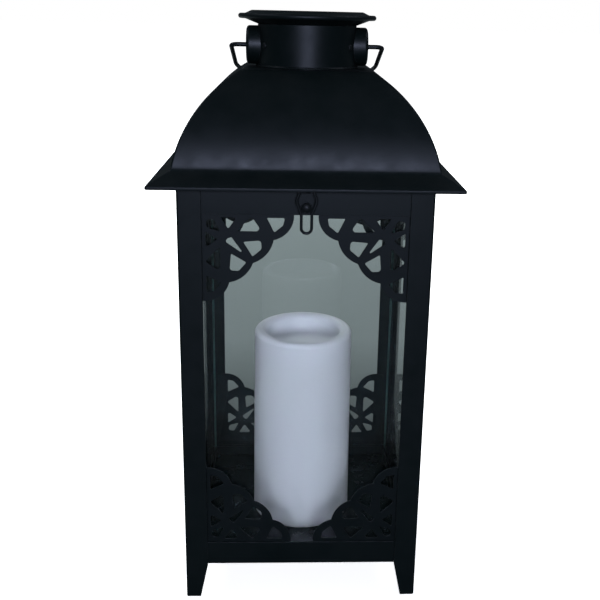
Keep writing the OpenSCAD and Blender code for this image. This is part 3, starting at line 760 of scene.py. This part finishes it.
def collar():
    """The neck, with a bead round its foot."""
    low, high = mm_box("collar")
    inner = COLLAR_R - SHEET
    bead = 0.5
    profile = [(inner, low.z), (high.x - bead, low.z)]
    profile += arc((high.x - bead, low.z + bead), bead, -80, 90, 8)
    profile += arc((COLLAR_R + 0.5, low.z + 2 * bead + 0.5), 0.5, 260, 180, 4)
    profile += [(COLLAR_R, low.z + 4), (COLLAR_R, high.z - 4), (COLLAR_R, high.z - 0.3)]
    profile += [(COLLAR_R - 0.3, high.z), (inner, high.z)]
    piece = lathe("collar_skin", profile)
    return finish_piece(piece, "roof", "roof_paint", "collar", smooth=40)


collar()


def cap():
    """The wide flat cap: a raised ring round the solar window, a rolled rim and a skirt inside the neck."""
    low, high = mm_box("cap")
    rim, top = high.x, high.z
    rim_r, rim_z = 1.75, 410.15
    ring_out, ring_edge = 38.3, 3.0
    seat, seat_z = 34.2, 409.0    # step that holds the solar panel and its window
    skirt, skirt_in, under_z = 33.3, 31.7, 405.0
    gasket_in, gasket_z = 30.6, 407.4
    profile = [(seat, top - 0.25), (seat + 0.3, top), (ring_out, top)]
    profile += arc((ring_out, top - ring_edge), ring_edge, 88, 62, 4)
    profile += [(42.2, 412.45), (43.2, 412.05), (44.2, rim_z + rim_r)]
    profile += arc((rim - rim_r, rim_z), rim_r, 90, -90, 14)
    profile += [(43.8, rim_z - rim_r), (COLLAR_R + 0.4, under_z), (skirt, under_z)]
    profile += [(skirt, low.z), (skirt_in, low.z)]
    profile += [(skirt_in, gasket_z), (gasket_in, gasket_z), (gasket_in, seat_z), (seat, seat_z)]
    piece = lathe("cap_skin", profile)
    return finish_piece(piece, "roof", "roof_paint", "cap", smooth=40)


cap()
for node, bevel in (("roof_soffit", 0.2), ("boss_left", 0), ("boss_right", 0)):
    dress(node, "roof_paint", bevel)
dress("hinge_leaf_roof", "frame_paint", 0.2)
dress("boss_rivets", "wire_paint", 0.2)
dress("hanger_rivets", "wire_paint", 0.15)
dress("hasp_hanger", "wire_paint", 0.15)


# ---- solar module ----

for node, slot, bevel in (
    ("panel_gasket", "seal_rubber", 0.1), ("solar_panel", "solar_cell", 0.1),
    ("solar_window", "window_plastic", 0.1), ("module_housing", "module_plastic", 0.25),
    ("module_cover", "module_plastic", 0.2), ("circuit_board", "board", 0.1),
    ("battery_cell", "cell_wrap", 0.4), ("battery_contacts", "plated_steel", 0.05),
    ("led", "amber_led", 0.05), ("led_lens", "lens_plastic", 0.1),
    ("module_screws", "plated_steel", 0.1), ("switch_body", "module_plastic", 0.2),
    ("switch_slider", "switch_red", 0.25), ("battery_door", "module_plastic", 0.15),
):
    dress(node, slot, bevel)


# ---- handle and clasp ----

def pivot_of(joint):
    return Vector(next(j for j in frame["joints"] if j["name"] == joint)["pos_m"]) / MM


def handle():
    """The bail: each end turns in its boss, and it lies back on the roof."""
    pivot = pivot_of("handle_swing")
    radius = 1.6
    half = mm_box("bail_handle")[1].x - radius
    bend = 4.5
    length = 100.0
    end = 38.5                    # where the wire ends inside a boss
    droop = math.radians(18.6)    # below level, at rest
    right = [(end, 0), (half - bend - 2, 0)] + arc((half - bend, bend), bend, -90, 0, 10)
    right += [(half, 20), (half, 34)]
    over = arc((0, length - half), half, 0, 90, 24)
    flat = right + over
    flat += [(-x, y) for x, y in reversed(flat[:-1])]
    path = [pivot + Vector((x, y * math.cos(droop), -y * math.sin(droop))) for x, y in flat]
    piece = tube("handle_wire", path, radius, sides=24)
    return finish_piece(piece, "handle", "wire_paint", "bail_handle", smooth=50)


def clasp():
    """The wire loop: wide where it hangs, with a narrow slot below that holds the neck of the stud."""
    pivot = pivot_of("clasp_swing")
    radius, length = 0.95, 29.0
    right = [(3.9, 0), (6.7, -6.9), (3.31, -15.9), (3.31, radius - length)]
    corners = right + [(-x, z) for x, z in reversed(right)]
    path = rounded(corners, [1.5, 5, 6, 3.3, 3.3, 6, 5, 1.5], steps=9)
    path = [p for i, p in enumerate(path) if (Vector(p) - Vector(path[i - 1])).length > 0.02]
    piece = tube("clasp_loop", [pivot + Vector((x, 0, z)) for x, z in path], radius, closed=True, sides=16)
    return finish_piece(piece, "clasp", "wire_paint", "clasp_wire", smooth=50)


handle()
clasp()


# ---- stage and light; metres ----

ROOM_LIGHT = (0.046, 0.052, 0.060, 1.0)
LIT_POINT = Vector((0, 0, 0.22))                      # where every lamp points
FLOOR_SHOWN = (1.9, 1.9, 1.9, 1.0)                    # the floor as the camera sees it
FLOOR_NEAR_PAINTED_SHADE, FLOOR_FAR = (0.090, 0.104, 0.104), (0.315, 0.35, 0.35)      # before and behind, for other light; the dark one before the lantern is painted shade, which the paint and the glass reflect

def seen_directly(tree, mixer):
    """Picks the mixer's second shader for what the camera sees directly, and its first for all other light."""
    path = tree.nodes.new("ShaderNodeLightPath")
    tree.links.new(path.outputs["Is Camera Ray"], mixer.inputs[0])


def make_floor():
    """A pale floor, which the camera sees as white from about a metre off. All other light meets a dimmer floor:
    painted shade before the lantern, which the paint and the glass reflect, and grey behind it.
    """
    size = 20000.0                # mm from the middle to an edge
    floor = mesh_piece("studio_floor", [(-size, -size, 0), (size, -size, 0), (size, size, 0), (-size, size, 0)],
                       [(0, 1, 2, 3)])
    n = Nodes("studio_floor")
    lit = n.put(n.add("ShaderNodeBsdfDiffuse"), Color=FLOOR_SHOWN)
    distance = n.add("ShaderNodeVectorMath", operation="LENGTH")
    n.link(n.place, distance.inputs[0])
    white = n.add("ShaderNodeEmission")
    n.put(white, Strength=n.span(distance.outputs["Value"], 0.25, 1.2, 0.74, 1.05))
    pale = n.add("ShaderNodeAddShader")
    n.link(lit.outputs[0], pale.inputs[0])
    n.link(white.outputs[0], pale.inputs[1])
    # painted shade: for all light but the camera's, the floor is dark before the lantern and grey behind it
    dim = n.add("ShaderNodeBsdfDiffuse")
    split = n.add("ShaderNodeSeparateXYZ")
    n.link(n.place, split.inputs[0])
    n.put(dim, Color=n.blend(n.span(split.outputs["Y"], 0.10, 0.42), FLOOR_NEAR_PAINTED_SHADE, FLOOR_FAR))
    mixer = n.add("ShaderNodeMixShader")
    seen_directly(n.tree, mixer)
    n.link(dim.outputs[0], mixer.inputs[1])
    n.link(pale.outputs[0], mixer.inputs[2])
    n.link(mixer.outputs[0], n.output.inputs["Surface"])
    floor.data.materials.append(n.material)


def area_light(name, at, size, power, colour, mirrored=True):
    """A soft lamp. One that isn't mirrored shows neither in glossy surfaces nor through glass."""
    data = bpy.data.lights.new(name, "AREA")
    data.shape = "RECTANGLE"
    data.size, data.size_y = size
    data.energy = power
    data.color = colour
    lamp = bpy.data.objects.new(name, data)
    bpy.context.scene.collection.objects.link(lamp)
    lamp.visible_glossy = lamp.visible_transmission = mirrored
    lamp.location = at
    lamp.rotation_mode = "QUATERNION"
    lamp.rotation_quaternion = (LIT_POINT - Vector(at)).to_track_quat("-Z", "Y")


def make_world():
    """A dim room, and plain white where the camera sees it."""
    world = bpy.data.worlds.new("studio")
    world.use_nodes = True
    bpy.context.scene.world = world
    tree = world.node_tree
    room = tree.nodes["Background"]
    room.inputs["Color"].default_value = ROOM_LIGHT
    shown = tree.nodes.new("ShaderNodeBackground")
    shown.inputs["Color"].default_value = (1, 1, 1, 1)
    mixer = tree.nodes.new("ShaderNodeMixShader")
    seen_directly(tree, mixer)
    tree.links.new(room.outputs[0], mixer.inputs[1])
    tree.links.new(shown.outputs[0], mixer.inputs[2])
    tree.links.new(mixer.outputs[0], tree.nodes["World Output"].inputs["Surface"])


make_floor()
make_world()
area_light("front_light", (0.0, -2.1, 0.72), (0.46, 0.4), 19, (0.83, 0.86, 1.0))
area_light("back_light", (-0.5, 2.0, 1.7), (1.6, 1.2), 43, (0.95, 1.0, 1.0), mirrored=False)
area_light("left_light", (-1.7, 0.2, 2.3), (0.9, 0.9), 6, (0.90, 0.93, 1.0))
area_light("right_light", (1.7, 0.2, 2.3), (0.9, 0.9), 6, (0.90, 0.93, 1.0))
bpy.context.scene.view_settings.view_transform = "Standard"
